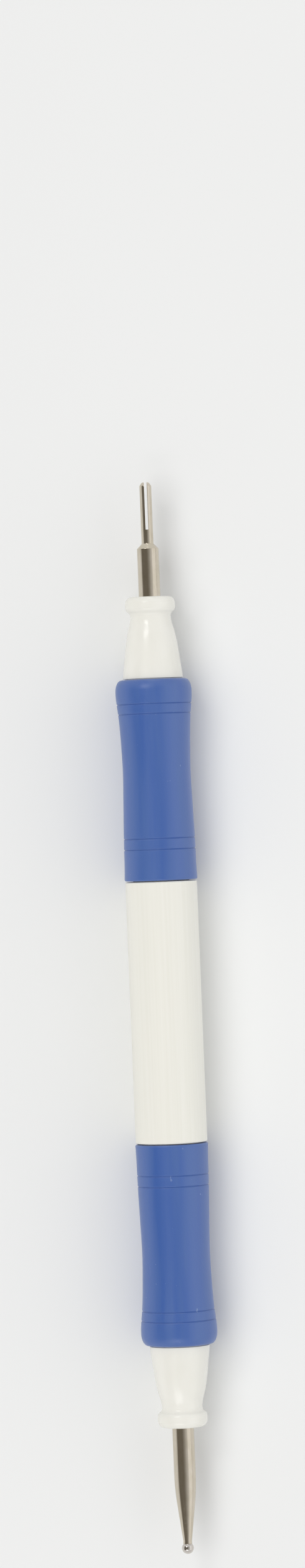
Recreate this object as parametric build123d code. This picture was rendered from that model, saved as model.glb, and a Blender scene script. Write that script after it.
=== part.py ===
from build123d import *
import os
from math import sqrt, tan, radians

# Double-ended quilling tool: a slotted winding pin at one end, a ball stylus at the other.
# Millimetres. The tool lies along X on its two soft grips, slotted tip towards +X, +Z up.
# Each half is drawn outwards from the barrel's mouth, as (along, radius) about the X axis,
# and is then put on its own end of the barrel.

# Barrel: extruded white tube
barrel_length = 38.4
barrel_diameter = 10.5
barrel_bore = 7.6
barrel_edge = 0.25

# Noses: glossy white mouldings, each with a beaded collar, a neck and a cone
nose_length = 12.0
nose_face_diameter = 5.7
collar_diameter = 7.3
collar_length = 2.3
neck_diameter = 6.0
cone_mouth_diameter = 8.84

# Nose, inside the grip: the seat and the cored-out hollow
seat_diameter = 8.2
core_diameter = 5.0
web_thickness = 2.5

# Nose, inside the barrel: the spigot and its crush ribs
spigot_length = 9.5
spigot_clearance = 0.08
spigot_lead = 0.6
crush_rib_width = 0.8
crush_rib_inset = 0.9
crush_rib_count = 4

# Grips: soft rubber sleeves, stretched over the seats, with a pair of fine rings near each end
grip_length = 29.8
grip_swell_diameter = 11.2
grip_swell_inset = 1.5
grip_waist_diameter = 9.95
grip_end_diameter = 10.64
grip_end_edge = 0.3
nose_ring_inset = 3.75
barrel_ring_inset = 4.75
ring_spacing = 1.5
ring_width = 0.34
ring_depth = 0.11

# Pins: bright steel, 3.2 mm across in view, with a thinner knurled tang pressed into the nose
shank_diameter = 3.2
tang_diameter = 2.8
tang_length = 18.0
tang_end_edge = 0.3
tang_end_clearance = 0.3
knurl_count = 6
knurl_length = 9.0
knurl_inset = 3.0
knurl_depth = 0.12
knurl_flank_angle = 45

# Slotted pin
slot_shank_length = 7.05
shoulder_length = 0.73
tip_diameter = 1.75
tip_length = 9.02
tip_bevel_length = 0.5
tip_end_diameter = 1.0
slot_width = 0.4
slot_depth = 6.95

# Stylus pin and its ball
stylus_shank_length = 9.1
taper_length = 8.0
taper_end_diameter = 1.2
ball_diameter = 1.75
ball_cup_diameter = 1.0

# How far a cutter runs past the surface that it cuts
cut_overrun = 0.2

# Outline of a collar: shares of its length from the nose's face, and of its rise over the neck
collar_shares = ((0.17, 0.66), (0.50, 1.0), (0.78, 1.0), (0.95, 0.62))

# Corner of a grip's lip: shares of the run and of the rise from its mouth to the swelling
lip_shares = (0.24, 0.66)

# Radii and stations that follow from the sizes above
barrel_radius = barrel_diameter / 2
barrel_bore_radius = barrel_bore / 2
collar_radius = collar_diameter / 2
neck_radius = neck_diameter / 2
collar_rise = collar_radius - neck_radius
core_radius = core_diameter / 2
nose_face_radius = nose_face_diameter / 2
cone_mouth_radius = cone_mouth_diameter / 2
seat_radius = seat_diameter / 2
spigot_radius = barrel_bore_radius - spigot_clearance
grip_swell_radius = grip_swell_diameter / 2
grip_waist_radius = grip_waist_diameter / 2
grip_end_radius = grip_end_diameter / 2
shank_radius = shank_diameter / 2
tang_radius = tang_diameter / 2
tip_radius = tip_diameter / 2
ball_radius = ball_diameter / 2
ball_cup_radius = ball_cup_diameter / 2

nose_face = grip_length + nose_length
swell_station = grip_length - grip_swell_inset
waist_start = grip_length - nose_ring_inset - ring_spacing - ring_width / 2
waist_end = barrel_ring_inset + ring_spacing + ring_width / 2
tang_end = nose_face - tang_length
tang_hole_floor = tang_end - tang_end_clearance
core_floor = tang_hole_floor - web_thickness
shoulder_foot = nose_face + slot_shank_length
shoulder_top = shoulder_foot + shoulder_length
tip_end = shoulder_top + tip_length
taper_start = nose_face + stylus_shank_length
taper_end = taper_start + taper_length
ball_centre = taper_end + sqrt(ball_radius**2 - ball_cup_radius**2)
stylus_end = ball_centre + ball_radius

# The grips' swellings are the widest part, so the tool rests on them
axis_height = grip_swell_radius
centring_shift = (stylus_end - tip_end) / 2

# Angles, in degrees
half_turn = 180
full_turn = 360


def turned(*edges):
    """A closed outline of (along, radius) edges, turned about the tool's axis."""
    return revolve(make_face(edges), axis=Axis.X)


def barrel():
    """The tube, drawn from its middle, with a small chamfer at each end."""
    mouth = barrel_length / 2
    outside = mouth - barrel_edge
    outline = Polyline(
        (-mouth, barrel_bore_radius),
        (-mouth, barrel_radius - barrel_edge),
        (-outside, barrel_radius),
        (outside, barrel_radius),
        (mouth, barrel_radius - barrel_edge),
        (mouth, barrel_bore_radius),
        close=True,
    )
    return turned(outline)


def crush_ribs():
    """Ribs along the spigot that the barrel's bore presses on, tapered at the leading end."""
    start = -crush_rib_inset
    end = spigot_lead - spigot_length
    outline = Polyline(
        (end, spigot_radius - cut_overrun),
        (end, spigot_radius),
        (end + crush_rib_width, barrel_bore_radius),
        (start, barrel_bore_radius),
        (start, spigot_radius - cut_overrun),
        close=True,
    )
    half_space = (Align.MAX, Align.CENTER, Align.MIN)
    sector = Box(spigot_length, crush_rib_width, barrel_bore_radius, align=half_space)
    rib = turned(outline) & sector
    step = full_turn / crush_rib_count
    return [Rot(X=step * turn) * rib for turn in range(crush_rib_count)]


def nose():
    """One nose moulding: collar, neck and cone in view, seat and spigot out of sight."""
    collar = [
        (nose_face - collar_length * run_share, neck_radius + collar_rise * rise_share)
        for run_share, rise_share in collar_shares
    ]
    outline = Polyline(
        (nose_face, nose_face_radius),
        *collar,
        (nose_face - collar_length, neck_radius),
        (grip_length, cone_mouth_radius),
        (grip_length, seat_radius),
        (0, seat_radius),
        (0, spigot_radius),
        (spigot_lead - spigot_length, spigot_radius),
        (-spigot_length, spigot_radius - spigot_lead),
        (-spigot_length, core_radius),
        (core_floor, core_radius),
        (core_floor, 0),
        (tang_hole_floor, 0),
        (tang_hole_floor, tang_radius),
        (nose_face, tang_radius),
        close=True,
    )
    return turned(outline) + crush_ribs()


def crown(station):
    """The radius of a grip between its swelling and its waist, where it tapers evenly."""
    run_share = (swell_station - station) / (swell_station - waist_start)
    return grip_swell_radius - (grip_swell_radius - grip_end_radius) * run_share


def plain_end(station):
    """The radius of a grip between its waist and the barrel, where it is straight."""
    return grip_end_radius


def ring(station, outline):
    """The points of a fine V-shaped groove round a grip whose radius at a station is outline()."""
    start = station + ring_width / 2
    end = station - ring_width / 2
    return (start, outline(start)), (station, outline(station) - ring_depth), (end, outline(end))


def grip():
    """One waisted sleeve: lip, swelling, crown, two rings, waist, two more rings and a plain end."""
    lip_run_share, lip_rise_share = lip_shares
    lip_rise = grip_swell_radius - cone_mouth_radius
    nose_side = Polyline(
        (grip_length, seat_radius),
        (grip_length, cone_mouth_radius),
        (
            grip_length - grip_swell_inset * lip_run_share,
            cone_mouth_radius + lip_rise * lip_rise_share,
        ),
        (swell_station, grip_swell_radius),
        *ring(grip_length - nose_ring_inset, crown),
        *ring(grip_length - nose_ring_inset - ring_spacing, crown),
    )
    barrel_side = Polyline(
        *ring(barrel_ring_inset + ring_spacing, plain_end),
        *ring(barrel_ring_inset, plain_end),
        (grip_end_edge, grip_end_radius),
        (0, grip_end_radius - grip_end_edge),
        (0, seat_radius),
        (grip_length, seat_radius),
    )
    waist_middle = ((waist_start + waist_end) / 2, grip_waist_radius)
    waist = ThreePointArc(nose_side @ 1, waist_middle, barrel_side @ 0)
    return turned(nose_side, waist, barrel_side)


def knurled(pin):
    """The pin with fine lengthwise grooves cut round its tang."""
    apex = tang_radius - knurl_depth
    half_width = (knurl_depth + cut_overrun) * tan(radians(knurl_flank_angle))
    crest = tang_radius + cut_overrun
    groove = Polygon((0, apex), (half_width, crest), (-half_width, crest), align=None)
    cutter = extrude(Plane.YZ.offset(tang_end + knurl_inset) * groove, amount=knurl_length)
    step = full_turn / knurl_count
    return pin - [Rot(X=step * turn) * cutter for turn in range(knurl_count)]


def tang():
    """The outline of a pin's tang, up to the shank that stands on the nose's face."""
    return (
        (tang_end, 0),
        (tang_end, tang_radius - tang_end_edge),
        (tang_end + tang_end_edge, tang_radius),
        (nose_face, tang_radius),
        (nose_face, shank_radius),
    )


def slotted_pin():
    """The winding pin: shank, sloping shoulder, thin tip with bevelled end, and the sawn slot."""
    outline = Polyline(
        *tang(),
        (shoulder_foot, shank_radius),
        (shoulder_top, tip_radius),
        (tip_end - tip_bevel_length, tip_radius),
        (tip_end, tip_end_diameter / 2),
        (tip_end, 0),
        close=True,
    )
    from_floor = (Align.MIN, Align.CENTER, Align.CENTER)
    saw = Box(slot_depth + cut_overrun, slot_width, tip_diameter + cut_overrun, align=from_floor)
    return knurled(turned(outline)) - Pos(tip_end - slot_depth, 0, 0) * saw


def stylus_pin():
    """The stylus: shank, long taper, and a cup in its end where the ball is brazed on."""
    outline = Polyline(
        *tang(),
        (taper_start, shank_radius),
        (taper_end, taper_end_diameter / 2),
        (taper_end, 0),
        close=True,
    )
    return knurled(turned(outline)) - stylus_ball()


def stylus_ball():
    """The ball at the end of the taper."""
    return Pos(ball_centre, 0, 0) * Sphere(ball_radius)


def at_slot_end(piece):
    """Put a piece on the slotted end of the barrel."""
    return Pos(centring_shift + barrel_length / 2, 0, axis_height) * piece


def at_ball_end(piece):
    """Turn a piece round and put it on the stylus end of the barrel."""
    return Pos(centring_shift - barrel_length / 2, 0, axis_height) * Rot(Z=half_turn) * piece


pieces = {
    "barrel": Pos(centring_shift, 0, axis_height) * barrel(),
    "slot_end_nose": at_slot_end(nose()),
    "slot_end_grip": at_slot_end(grip()),
    "slotted_pin": at_slot_end(slotted_pin()),
    "ball_end_nose": at_ball_end(nose()),
    "ball_end_grip": at_ball_end(grip()),
    "stylus_pin": at_ball_end(stylus_pin()),
    "stylus_ball": at_ball_end(stylus_ball()),
}

os.makedirs("parts", exist_ok=True)
for name, piece in pieces.items():
    piece.label = name
    export_step(piece, f"parts/{name}.step")
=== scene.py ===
"""Double-ended quilling tool: smooth turned pieces, finishes, floor, light and camera.

The tool lies along X with its slotted tip towards +X, and its axis is level. Outlines are in
millimetres, as (along, radius) from the barrel's mouth outwards, and are turned about the axis.
"""

from math import atan2, cos, pi, radians, sin, tan

import bmesh
import bpy
import numpy as np
from mathutils import Matrix, Vector


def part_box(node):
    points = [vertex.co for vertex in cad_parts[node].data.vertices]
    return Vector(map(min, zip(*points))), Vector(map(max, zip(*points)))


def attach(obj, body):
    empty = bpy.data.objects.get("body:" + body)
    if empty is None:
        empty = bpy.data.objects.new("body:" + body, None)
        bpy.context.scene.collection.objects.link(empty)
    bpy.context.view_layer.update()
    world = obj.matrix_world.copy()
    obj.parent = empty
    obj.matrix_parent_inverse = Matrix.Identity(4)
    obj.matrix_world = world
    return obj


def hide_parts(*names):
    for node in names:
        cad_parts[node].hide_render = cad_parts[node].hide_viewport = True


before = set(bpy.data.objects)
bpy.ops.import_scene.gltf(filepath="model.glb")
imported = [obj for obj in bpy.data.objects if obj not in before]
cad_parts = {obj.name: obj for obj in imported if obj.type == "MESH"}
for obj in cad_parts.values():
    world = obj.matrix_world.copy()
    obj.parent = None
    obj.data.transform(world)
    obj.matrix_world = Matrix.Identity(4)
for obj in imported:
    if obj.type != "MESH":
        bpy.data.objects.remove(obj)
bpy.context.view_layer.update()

mm = 0.001

# Places that the solids give: the two mouths of the barrel and the height of the axis
barrel_low, barrel_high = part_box("barrel")
ball_end_mouth = barrel_low[0] / mm
slot_end_mouth = barrel_high[0] / mm
axis_height = (barrel_low[2] + barrel_high[2]) / 2 / mm

# Sizes that more than one piece shares
barrel_radius = 5.25
bore_radius = 3.8
grip_length = 29.8
nose_face = 41.8
cone_mouth_radius = 4.42
seat_radius = 4.1
tang_radius = 1.4
tang_end = 23.8
shank_radius = 1.6
edge = 0.1

# How finely the pieces are drawn
arc_steps = 9
longest_step = 0.4
closest_points = 5e-3
round_steps = 128
grip_round_steps = 160
stylus_round_steps = 96
ball_round_steps = 72
sharpest_smooth_angle = 32


def rounded(corners):
    """The closed outline through the corners, each rounded off by an arc.

    A row is (along, radius, run before the corner, run after it). The arc is the conic
    ((1-t)^2 A + 2 w t (1-t) P + t^2 B) / ((1-t)^2 + 2 w t (1-t) + t^2), from A to B, the points
    that lie those runs away from the corner P, with w the cosine of half the turn. Straight
    stretches are then divided so that no step is longer than longest_step.
    """
    table = np.array(corners, float)
    corner = table[:, :2]
    before = np.roll(corner, 1, axis=0) - corner
    after = np.roll(corner, -1, axis=0) - corner
    before /= np.linalg.norm(before, axis=1, keepdims=True)
    after /= np.linalg.norm(after, axis=1, keepdims=True)
    start = (corner + before * table[:, 2:3])[:, None, :]
    end = (corner + after * table[:, 3:4])[:, None, :]
    weight = np.sqrt(np.clip(1 - np.sum(before * after, axis=1), 0, 2) / 2)[:, None, None]
    t = np.linspace(0, 1, arc_steps)[None, :, None]
    first, middle, last = (1 - t) ** 2, 2 * weight * t * (1 - t), t**2
    arcs = (first * start + middle * corner[:, None, :] + last * end) / (first + middle + last)
    line = arcs.reshape(-1, 2)
    line = np.vstack([line, line[:1]])
    apart = np.linalg.norm(np.diff(line, axis=0), axis=1)
    line = line[np.append(apart > 1e-4, True)]
    run = np.append(0, np.cumsum(np.linalg.norm(np.diff(line, axis=0), axis=1)))
    stops = np.union1d(run, np.linspace(0, run[-1], int(run[-1] / longest_step)))[:-1]
    stops = stops[np.append(True, np.diff(stops) > closest_points)]
    return np.column_stack([np.interp(stops, run, line[:, 0]), np.interp(stops, run, line[:, 1])])


def through(stations, radii, at):
    """The cubic curve through (station, radius), whose slope at each is that of its neighbours.

    Between two stations it is the Hermite blend of both radii and both slopes.
    """
    slopes = np.gradient(radii, stations)
    place = np.clip(np.searchsorted(stations, at) - 1, 0, len(stations) - 2)
    width = stations[place + 1] - stations[place]
    t = (at - stations[place]) / width
    return (
        (2 * t**3 - 3 * t**2 + 1) * radii[place]
        + (t**3 - 2 * t**2 + t) * width * slopes[place]
        + (3 * t**2 - 2 * t**3) * radii[place + 1]
        + (t**3 - t**2) * width * slopes[place + 1]
    )


def even_angles(count):
    """The angles of a ring of this many points."""
    return np.linspace(0, 2 * pi, count, endpoint=False)


def lathe(outline, angles, relief=None):
    """The outline turned about the axis: (along, radius cos(angle), radius sin(angle)).

    relief(along, radius, angle) is added to the radius where a piece isn't quite round.
    """
    along = outline[:, :1] + 0 * angles
    radius = outline[:, 1:] + 0 * angles
    if relief is not None:
        radius = radius + relief(along, radius, angles)
    return np.stack([along, radius * np.cos(angles), radius * np.sin(angles)], axis=-1)


def quads(rows, columns, first=0, closed=True):
    """The faces of a grid of rows by columns, closed round its columns, and its rows if closed."""
    row = np.arange(rows if closed else rows - 1)[:, None]
    column = np.arange(columns)[None, :]
    next_row, next_column = (row + 1) % rows, (column + 1) % columns
    faces = [
        row * columns + column,
        row * columns + next_column,
        next_row * columns + next_column,
        next_row * columns + column,
    ]
    return first + np.stack(faces, axis=-1).reshape(-1, 4)


def piece(name, points, faces, mouth, outward, node, slot, finish):
    """A finished piece in place of the CAD node: merged, closed, smooth, sharp at its creases."""
    place = points.reshape(-1, 3) * (outward, 1, 1) + (mouth, 0, axis_height)
    mesh = bpy.data.meshes.new(name)
    mesh.from_pydata((place * mm).tolist(), [], faces)
    shape = bmesh.new()
    shape.from_mesh(mesh)
    bmesh.ops.remove_doubles(shape, verts=shape.verts, dist=1e-6)
    # Where an outline runs along the axis, its faces have shrunk to a bare line
    bare = [point for point in shape.verts if not point.link_faces]
    bmesh.ops.delete(shape, geom=bare, context="VERTS")
    bmesh.ops.recalc_face_normals(shape, faces=shape.faces)
    shape.to_mesh(mesh)
    shape.free()
    mesh.shade_smooth()
    mesh.set_sharp_from_angle(angle=radians(sharpest_smooth_angle))
    mesh.materials.append(finish)
    thing = bpy.data.objects.new(name, mesh)
    bpy.context.scene.collection.objects.link(thing)
    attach(thing, "root")
    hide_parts(node)


# Finishes


def paint(text):
    """The linear colour of an sRGB hex value."""
    part = np.array([int(text[i : i + 2], 16) for i in (1, 3, 5)]) / 255
    linear = np.where(part <= 0.04045, part / 12.92, ((part + 0.055) / 1.055) ** 2.4)
    return (*linear.tolist(), 1.0)


def add(tree, kind, settings=None, inputs=None):
    """Add a node, give it its settings, and fill or link its inputs."""
    made = tree.nodes.new(kind)
    for name, value in (settings or {}).items():
        setattr(made, name, value)
    for name, value in (inputs or {}).items():
        if isinstance(value, bpy.types.NodeSocket):
            tree.links.new(value, made.inputs[name])
        else:
            made.inputs[name].default_value = value
    return made


def finish_of(name):
    """A new material with its shader, and the object's coordinates."""
    material = bpy.data.materials.new(name)
    material.use_nodes = True
    tree = material.node_tree
    shader = tree.nodes["Principled BSDF"]
    place = add(tree, "ShaderNodeTexCoord").outputs["Object"]
    return material, tree, shader, place


def grain(tree, place, per_mm, detail=2.0):
    """Noise with this many grains in a millimetre along X, Y and Z."""
    scale = tuple(value / mm for value in per_mm)
    spread = add(tree, "ShaderNodeMapping", inputs={"Vector": place, "Scale": scale})
    noise = add(
        tree,
        "ShaderNodeTexNoise",
        inputs={"Vector": spread.outputs["Vector"], "Scale": 1.0, "Detail": detail},
    )
    return noise.outputs["Fac"]


def between(tree, amount, low, high, from_low=0.35, from_high=0.65):
    """Change noise into a value that runs from low to high."""
    ranged = add(
        tree,
        "ShaderNodeMapRange",
        inputs={
            "Value": amount,
            "From Min": from_low,
            "From Max": from_high,
            "To Min": low,
            "To Max": high,
        },
    )
    return ranged.outputs["Result"]


def blended(tree, amount, one, other):
    """The colour between two, each a hex value or another node's colour."""
    mixed = add(tree, "ShaderNodeMix", {"data_type": "RGBA"})
    tree.links.new(amount, mixed.inputs[0])
    # Sockets 6 and 7 are the node's colours A and B, and output 2 is its colour
    for place, colour in ((6, one), (7, other)):
        if isinstance(colour, str):
            mixed.inputs[place].default_value = paint(colour)
        else:
            tree.links.new(colour, mixed.inputs[place])
    return mixed.outputs[2]


def bumped(tree, height, distance_mm):
    """A normal from a height of this many millimetres."""
    inputs = {"Height": height, "Distance": distance_mm * mm, "Strength": 1.0}
    return add(tree, "ShaderNodeBump", inputs=inputs).outputs["Normal"]


def extruded_white_styrene():
    """High-impact polystyrene tube, drawn through a die.

    To the eye: warm white, satin, with faint lines along it where the die marked it.
    """
    material, tree, shader, place = finish_of("extruded_white_styrene")
    die_lines = grain(tree, place, (0.03, 2.2, 2.2), detail=3.0)
    clouds = grain(tree, place, (0.12, 0.35, 0.35))
    tree.links.new(
        blended(tree, between(tree, die_lines, 0.0, 1.0), "#EFEEE5", "#F2F1E9"),
        shader.inputs["Base Color"],
    )
    tree.links.new(between(tree, clouds, 0.40, 0.50), shader.inputs["Roughness"])
    tree.links.new(bumped(tree, die_lines, 0.006), shader.inputs["Normal"])
    shader.inputs["IOR"].default_value = 1.59
    return material


def moulded_white_abs():
    """ABS moulded in a polished tool.

    To the eye: warm white with a clear gloss, a little uneven where the skin sank as it cooled.
    """
    material, tree, shader, place = finish_of("moulded_white_abs")
    flow = grain(tree, place, (0.15, 0.3, 0.3))
    scuffs = grain(tree, place, (1.6, 5.0, 5.0), detail=4.0)
    tree.links.new(
        blended(tree, between(tree, flow, 0.0, 1.0), "#EFEEE6", "#F2F1EA"),
        shader.inputs["Base Color"],
    )
    tree.links.new(between(tree, scuffs, 0.15, 0.24), shader.inputs["Roughness"])
    tree.links.new(bumped(tree, flow, 0.012), shader.inputs["Normal"])
    shader.inputs["IOR"].default_value = 1.54
    return material


def moulded_soft_rubber():
    """Thermoplastic rubber moulded in a fine blasted tool.

    To the eye: mid blue with a dull sheen that turns greyish towards the light, faint clouds
    where it was handled, a few pale specks of lint, and a blasted skin, drawn at 0.3 mm as its
    own 0.05 mm would not show.
    """
    material, tree, shader, place = finish_of("moulded_soft_rubber")
    clouds = grain(tree, place, (0.06, 0.7, 0.7), detail=3.0)
    blasting = grain(tree, place, (3.3, 3.3, 3.3), detail=3.0)
    lint = grain(tree, place, (1.3, 1.6, 1.6), detail=1.0)
    rubber = blended(tree, between(tree, clouds, 0.0, 1.0), "#345DA8", "#3C62A7")
    tree.links.new(
        blended(tree, between(tree, lint, 0.0, 0.3, 0.76, 0.80), rubber, "#9FB2D2"),
        shader.inputs["Base Color"],
    )
    tree.links.new(between(tree, clouds, 0.36, 0.46), shader.inputs["Roughness"])
    tree.links.new(bumped(tree, blasting, 0.012), shader.inputs["Normal"])
    shader.inputs["IOR"].default_value = 1.52
    shader.inputs["Specular IOR Level"].default_value = 1.0
    shader.inputs["Sheen Weight"].default_value = 0.2
    shader.inputs["Sheen Roughness"].default_value = 0.3
    return material


def turned_nickelled_steel():
    """Steel turned on a lathe and plated with nickel.

    To the eye: bright, slightly warm, with clear reflections along it, and faint rings left by
    the lathe, drawn at 0.25 mm as their own 0.05 mm would not show.
    """
    material, tree, shader, place = finish_of("turned_nickelled_steel")
    rings = grain(tree, place, (4.0, 0.05, 0.05), detail=2.0)
    handling = grain(tree, place, (0.5, 1.0, 1.0), detail=3.0)
    tree.links.new(
        blended(tree, between(tree, handling, 0.0, 1.0), "#CCC3B1", "#D4CBBC"),
        shader.inputs["Base Color"],
    )
    tree.links.new(between(tree, rings, 0.09, 0.14), shader.inputs["Roughness"])
    tree.links.new(bumped(tree, rings, 0.002), shader.inputs["Normal"])
    shader.inputs["Metallic"].default_value = 1.0
    return material


def polished_ball_steel():
    """Bearing ball, ground and lapped, dulled a little where the braze heated it.

    To the eye: a small bright mirror.
    """
    material, tree, shader, place = finish_of("polished_ball_steel")
    heat = grain(tree, place, (0.9, 0.9, 0.9))
    tree.links.new(
        blended(tree, between(tree, heat, 0.0, 1.0), "#D2CCC6", "#DAD6D0"),
        shader.inputs["Base Color"],
    )
    tree.links.new(between(tree, heat, 0.05, 0.10), shader.inputs["Roughness"])
    shader.inputs["Metallic"].default_value = 1.0
    return material


barrel_finish = extruded_white_styrene()
nose_finish = moulded_white_abs()
grip_finish = moulded_soft_rubber()
pin_finish = turned_nickelled_steel()
ball_finish = polished_ball_steel()


# The handle


def barrel_tube():
    """The tube's wall about its own middle, with an edge that the cut-off tool rounded."""
    half = (slot_end_mouth - ball_end_mouth) / 2
    cut_edge = 0.25
    wall = rounded(
        [
            (-half, bore_radius, edge, edge),
            (-half, barrel_radius, cut_edge, cut_edge),
            (half, barrel_radius, cut_edge, cut_edge),
            (half, bore_radius, edge, edge),
        ]
    )
    return lathe(wall, even_angles(round_steps)), quads(len(wall), round_steps).tolist()


def nose_moulding():
    """A nose: rolled collar, neck and swelling cone, then the seat, the spigot and the core.

    The cone is the cubic curve through its measured stations. The spigot stands on four crush
    ribs, where the radius rises to the barrel's bore.
    """
    collar, neck, spigot, core = 3.67, 2.97, 3.72, 2.5
    spigot_end, core_floor, tang_hole_floor = -9.5, 21.0, 23.5
    ribs, rib_top, rib_root = 4, 0.3, 0.5
    rib_start, rib_end, rib_lead = -0.9, -8.9, 0.8
    stations = np.array([2.9, 3.3, 3.8, 4.5, 5.2, 6.0, 6.7, 7.5, 8.5, 9.6, 10.8, 12.0])
    radii = np.array([2.97, 2.99, 3.08, 3.27, 3.46, 3.63, 3.75, 3.87, 4.0, 4.14, 4.29, 4.42])
    cone_at = np.linspace(3.0, 11.85, 60)
    cone = [(nose_face - d, r, 0, 0) for d, r in zip(cone_at, through(stations, radii, cone_at))]
    outline = rounded(
        [
            (nose_face, tang_radius, edge, edge),
            (nose_face, collar, 0.85, 1.1),
            (nose_face - 1.98, collar, 0.5, 0.35),
            (nose_face - 2.5, neck, 0.4, 0.4),
            *cone,
            (grip_length, cone_mouth_radius, 0.05, 0.05),
            (grip_length, seat_radius, 0, 0),
            (0, seat_radius, edge, edge),
            (0, spigot, 0.05, 0.05),
            (spigot_end, spigot, 0.8, 0.6),
            (spigot_end, core, edge, edge),
            (core_floor, core, 0.4, 0.4),
            (core_floor, 0, 0, 0),
            (tang_hole_floor, 0, 0, 0),
            (tang_hole_floor, tang_radius, edge, edge),
        ]
    )

    def crush_ribs(along, radius, angle):
        """Up to the bore within rib_top of a rib's middle, and down to the spigot at rib_root."""
        turn = (angle * ribs / (2 * pi) + 0.5) % 1 - 0.5
        beside = np.abs(turn) * 2 * pi / ribs * spigot
        on_spigot = (along > rib_end) & (along < rib_start) & (radius > spigot - 0.01)
        lead = np.clip((along - rib_end) / rib_lead, 0, 1)
        flank = np.clip((rib_root - beside) / (rib_root - rib_top), 0, 1)
        return (bore_radius - spigot) * on_spigot * lead * flank

    points = lathe(outline, even_angles(round_steps), crush_ribs)
    return points, quads(len(outline), round_steps).tolist()


def grip_sleeve():
    """A waisted sleeve with a rolled lip and a pair of fine rings near each end.

    Its skin is the cubic curve through the measured stations, less
    ring_depth exp(-(d / ring_width)^2) at a distance d from the middle of a ring. Its lip is
    rolled, and a fine gap is left at the cone and at the barrel.
    """
    swell, barrel_end, gap = 5.6, 5.36, 0.14
    ring_depth, ring_width = 0.11, 0.085
    rings = np.array([3.75, 5.2, 23.5, 25.1])
    stations = np.array([1.9, 2.4, 3.75, 5.2, 7.2, 9.5, 13.1, 18.5, 23.5, 25.1, 27.7, 29.8])
    radii = np.array([5.6, 5.6, 5.49, 5.33, 5.18, 5.08, 4.98, 5.09, 5.225, 5.25, 5.28, 5.36])
    beside_rings = (rings[:, None] + np.linspace(-0.24, 0.24, 17)).ravel()
    skin_at = np.unique(np.append(np.linspace(2.0, 29.2, 69), beside_rings).round(3))
    skin = through(stations, radii, skin_at)
    off_rings = (skin_at[:, None] - rings) / ring_width
    skin -= np.sum(ring_depth * np.exp(-(off_rings**2)), axis=1)
    outline = rounded(
        [
            (grip_length - gap, seat_radius, 0, 0),
            (grip_length - gap, swell, 0.9, 1.75),
            *((grip_length - d, r, 0, 0) for d, r in zip(skin_at, skin)),
            (gap, barrel_end, 0.28, 0.28),
            (gap, seat_radius, 0, 0),
        ]
    )
    points = lathe(outline, even_angles(grip_round_steps))
    return points, quads(len(outline), grip_round_steps).tolist()


# The pins

tip_radius = 0.875
tip_end = 58.6
tip_end_radius = 0.5
slot_floor = 51.65
half_slot = 0.2
tine_steps = 40
gap_steps = 8
chord_steps = 6

# The angles of the tip's arcs, from the +Y side, and of the two gaps that the saw leaves
tine_edge = atan2((tip_radius**2 - half_slot**2) ** 0.5, half_slot)
pin_angles = np.concatenate(
    [
        np.linspace(-tine_edge, tine_edge, tine_steps, endpoint=False),
        np.linspace(tine_edge, pi - tine_edge, gap_steps, endpoint=False),
        np.linspace(pi - tine_edge, pi + tine_edge, tine_steps, endpoint=False),
        np.linspace(pi + tine_edge, 2 * pi - tine_edge, gap_steps, endpoint=False),
    ]
)


def knurl(along, radius, angle):
    """Six grooves along 9 mm of the tang: the column of points nearest to each one sinks."""
    grooves, depth, reach = 6, 0.12, 0.05
    turn = (angle * grooves / (2 * pi) + 0.5) % 1 - 0.5
    beside = np.abs(turn) * 2 * pi / grooves * tang_radius
    on_tang = (along > tang_end + 3) & (along < tang_end + 12) & (radius > tang_radius - 0.01)
    return -depth * on_tang * (beside < reach)


tang_corners = [
    (tang_end, 0, 0, 0),
    (tang_end, tang_radius, 0.3, 0.3),
    (nose_face, tang_radius, 0, 0),
    (nose_face, shank_radius, 0, 0.03),
]


def open_line(corners, last):
    """The rounded outline of a pin, from the axis at its tang up to its last point."""
    line = rounded([*corners, (corners[0][0] + closest_points, 0, 0, 0)])
    keep = np.argmin(np.hypot(*(line - last).T))
    return line[: keep + 1]


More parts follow.
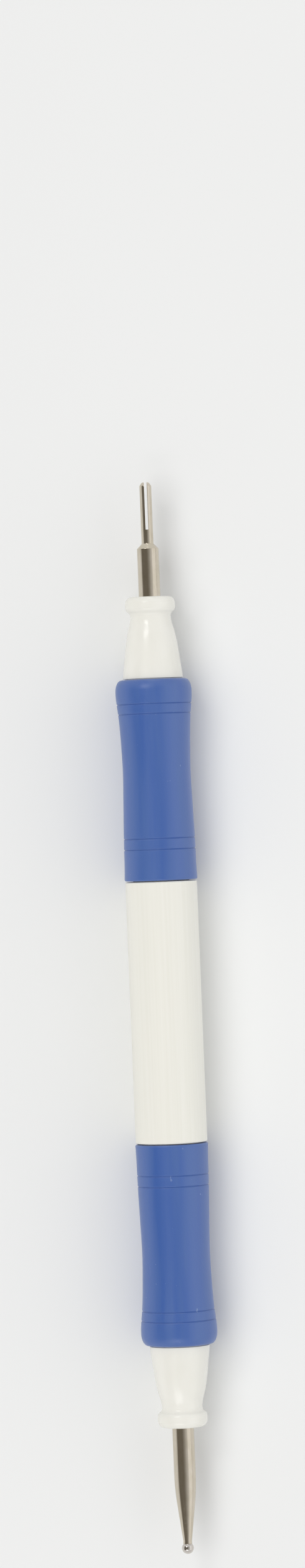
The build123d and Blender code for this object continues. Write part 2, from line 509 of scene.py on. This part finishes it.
def slotted_tip_pin():
    """The winding pin: a turned body up to the slot's floor, and two tines beside the slot.

    A tine's section at radius r is the arc from -acos(h / r) to +acos(h / r), with h half the
    slot's width, and the chord that closes it, which lies in the slot's wall.
    """
    shoulder_foot, shoulder_top, bevel_start, near, inner = 48.85, 49.58, 58.1, 0.01, 0.3
    whole = open_line(
        [
            *tang_corners,
            (shoulder_foot, shank_radius, 0.04, 0.04),
            (shoulder_top, tip_radius, 0.08, 0.1),
            (bevel_start, tip_radius, 0.15, 0.15),
            (tip_end, tip_end_radius, 0.12, 0.12),
            (tip_end, inner, 0, 0),
        ],
        (tip_end, inner),
    )
    below = whole[whole[:, 0] < slot_floor - near]
    body_line = np.vstack([below, [[slot_floor, tip_radius]]])
    above = whole[(whole[:, 0] > slot_floor + near) & (whole[:, 1] > inner + 0.05)]
    tine_line = np.vstack([[[slot_floor, tip_radius]], above])
    body = lathe(body_line, pin_angles, knurl)

    along, radius = tine_line[:, :1], tine_line[:, 1:]
    reach = np.arccos(half_slot / radius)
    arc = reach * np.linspace(-1, 1, tine_steps + 1)
    chord = np.sqrt(radius**2 - half_slot**2) * np.linspace(1, -1, chord_steps + 1)[1:-1]
    across = np.hstack([radius * np.cos(arc), half_slot + 0 * chord])
    upright = np.hstack([radius * np.sin(arc), chord])
    tine = np.stack([along + 0 * across, across, upright], axis=-1)
    other = tine * (1, -1, 1)

    rows, round_body = body.shape[:2]
    tines, round_tine = tine.shape[:2]
    one_start, other_start = rows * round_body, rows * round_body + tines * round_tine
    faces = quads(rows, round_body, closed=False).tolist()
    faces += quads(tines, round_tine, one_start, closed=False).tolist()
    faces += quads(tines, round_tine, other_start, closed=False).tolist()
    for start in (one_start, other_start):
        cap = start + (tines - 1) * round_tine
        faces.append(list(range(cap, cap + round_tine)))
    # The slot's floor: its two arcs on the body's last ring, and the tines' two chords
    ring = (rows - 1) * round_body
    top = [ring + tine_steps + i for i in range(gap_steps + 1)]
    bottom = [ring + 2 * tine_steps + gap_steps + i for i in range(gap_steps)] + [ring]
    wall = list(range(tine_steps + 1, round_tine))
    faces.append(
        top + [other_start + i for i in wall] + bottom + [one_start + i for i in reversed(wall)]
    )
    points = np.vstack([body.reshape(-1, 3), tine.reshape(-1, 3), other.reshape(-1, 3)])
    return points, faces


ball_radius = 0.875
ball_centre = 59.618


def stylus_tapered_pin():
    """The stylus: shank, long taper, a small fillet of braze, and the cup under the ball."""
    taper_start, taper_end, braze_end, cup_edge = 50.9, 58.6, 59.0, 2.70
    cup = [
        (ball_centre + ball_radius * cos(angle), ball_radius * sin(angle), 0, 0)
        for angle in np.linspace(cup_edge, pi, 9)[:-1]
    ]
    line = rounded(
        [
            *tang_corners,
            (taper_start, shank_radius, 2.2, 2.2),
            (taper_end, 0.638, 0.2, 0.1),
            (braze_end, 0.66, 0.1, 0.02),
            *cup,
            (ball_centre - ball_radius, 0, 0, 0),
        ]
    )
    points = lathe(line, even_angles(stylus_round_steps), knurl)
    return points, quads(len(line), stylus_round_steps).tolist()


def stylus_end_ball():
    """The ball: the half circle (cos(a), sin(a)) of its radius turned about the tool's axis."""
    a = np.linspace(0, pi, 49)
    half_circle = np.column_stack([ball_centre + ball_radius * np.cos(a), ball_radius * np.sin(a)])
    points = lathe(half_circle, even_angles(ball_round_steps))
    return points, quads(len(a), ball_round_steps, closed=False).tolist()


middle = (slot_end_mouth + ball_end_mouth) / 2
slot_end = (slot_end_mouth, 1)
ball_end = (ball_end_mouth, -1)
nose = ("nose_plastic", nose_finish)
grip = ("grip_rubber", grip_finish)
pin = ("pin_steel", pin_finish)

piece("barrel_tube", *barrel_tube(), middle, 1, "barrel", "barrel_plastic", barrel_finish)
for end, where in (("slot_end", slot_end), ("ball_end", ball_end)):
    piece(f"{end}_nose_moulding", *nose_moulding(), *where, f"{end}_nose", *nose)
    piece(f"{end}_grip_sleeve", *grip_sleeve(), *where, f"{end}_grip", *grip)
piece("winding_pin", *slotted_tip_pin(), *slot_end, "slotted_pin", *pin)
piece("tapered_stylus", *stylus_tapered_pin(), *ball_end, "stylus_pin", *pin)
piece("stylus_end_ball", *stylus_end_ball(), *ball_end, "stylus_ball", "ball_steel", ball_finish)


# The floor, the light and the camera


def pale_floor():
    """Matt painted board, 16 m across, for the tool to lie on."""
    material, tree, shader, place = finish_of("matt_painted_board")
    clouds = grain(tree, place, (0.004, 0.004, 0.004))
    tree.links.new(
        blended(tree, between(tree, clouds, 0.0, 1.0), "#F0F1F1", "#F3F4F4"),
        shader.inputs["Base Color"],
    )
    shader.inputs["Roughness"].default_value = 0.9
    shader.inputs["Specular IOR Level"].default_value = 0.1
    half = 8
    corners = [(-half, -half, 0), (half, -half, 0), (half, half, 0), (-half, half, 0)]
    mesh = bpy.data.meshes.new("floor")
    mesh.from_pydata(corners, [], [(0, 1, 2, 3)])
    mesh.materials.append(material)
    floor = bpy.data.objects.new("floor", mesh)
    bpy.context.scene.collection.objects.link(floor)


def studio_walls():
    """Pale walls all round, with a dark opening overhead that reaches down the +Y side.

    Across the tool the opening fades in from 54 degrees on the -Y side to 18 on the +Y side, and
    out again from 66 to 84. Along the tool it fades out from 26 to 38 degrees at both ends.
    """
    world = bpy.data.worlds.new("studio_walls")
    bpy.context.scene.world = world
    world.use_nodes = True
    tree = world.node_tree
    towards = add(tree, "ShaderNodeTexCoord").outputs["Generated"]
    part = add(tree, "ShaderNodeSeparateXYZ", inputs={"Vector": towards}).outputs
    lean = add(tree, "ShaderNodeMath", {"operation": "ARCTAN2"}, {0: part["Y"], 1: part["Z"]})
    along = add(tree, "ShaderNodeMath", {"operation": "ABSOLUTE"}, {0: part["X"]})
    fades = (
        (lean, radians(-54), radians(18)),
        (lean, radians(84), radians(66)),
        (along, sin(radians(38)), sin(radians(26))),
    )
    opening = 1.0
    for measure, pale, dark in fades:
        fade = add(
            tree,
            "ShaderNodeMapRange",
            {"interpolation_type": "SMOOTHSTEP"},
            {"Value": measure.outputs[0], "From Min": pale, "From Max": dark},
        )
        both = add(
            tree,
            "ShaderNodeMath",
            {"operation": "MULTIPLY"},
            {0: fade.outputs["Result"], 1: opening},
        )
        opening = both.outputs[0]
    sky = blended(tree, opening, "#E2E2E2", "#77726A")
    tree.links.new(sky, tree.nodes["Background"].inputs["Color"])
    tree.nodes["Background"].inputs["Strength"].default_value = 1.0


def hung(name, light, left, along):
    """The lamp 2.4 m off, leaning these degrees to the +Y side and along X, facing the tool."""
    distance = 2.4
    towards = Vector((tan(radians(along)), tan(radians(left)), 1))
    lamp = bpy.data.objects.new(name, light)
    lamp.location = towards.normalized() * distance
    # A lamp shines along its own -Z, and its own X is laid across the tool
    back = lamp.location.normalized()
    across = Vector((0, 1, 0)).cross(back).cross(back).normalized()
    lamp.rotation_euler = Matrix((across, back.cross(across), back)).transposed().to_euler()
    lamp.visible_camera = False
    bpy.context.scene.collection.objects.link(lamp)
    return lamp


def softbox(name, left, along, size, watts):
    """A soft lamp whose size is (across the tool, along it), in metres."""
    light = bpy.data.lights.new(name, "AREA")
    light.shape = "RECTANGLE"
    light.size, light.size_y = size
    light.energy = watts
    return hung(name, light, left, along)


def wide_fill():
    """A light 44 degrees wide that is as strong all over the floor, and isn't mirrored."""
    light = bpy.data.lights.new("left_fill", "SUN")
    light.angle = radians(44)
    light.energy = 1.0
    hung("left_fill", light, 24, 0).visible_glossy = False


def overhead_camera():
    """Straight down, with the slotted tip towards the top of a tall frame."""
    above_axis, framed_length, turned = 900, 230.3, -92.3
    middle_along, middle_across = 34.45, 0.69
    camera = bpy.data.cameras.new("overhead")
    camera.sensor_width = 36.0
    camera.lens = camera.sensor_width * above_axis / framed_length
    stand = bpy.data.objects.new("overhead", camera)
    stand.location = (middle_along * mm, middle_across * mm, (above_axis + axis_height) * mm)
    stand.rotation_euler = (0, 0, radians(turned))
    bpy.context.scene.collection.objects.link(stand)
    bpy.context.scene.camera = stand


pale_floor()
studio_walls()
softbox("slot_end_key", 26, 31, (0.8, 0.36), 5.4)
softbox("ball_end_key", 17, -37, (1.5, 0.48), 4.6)
# Only mirrored, on the steel's shoulder and bevel, so that it leaves no bright patch on the floor
softbox("slot_end_window", 4, 80, (0.5, 0.7), 2).visible_diffuse = False
softbox("right_card", -62, 0, (1.8, 3.6), 4.8)
wide_fill()
overhead_camera()
bpy.context.scene.view_settings.view_transform = "Standard"
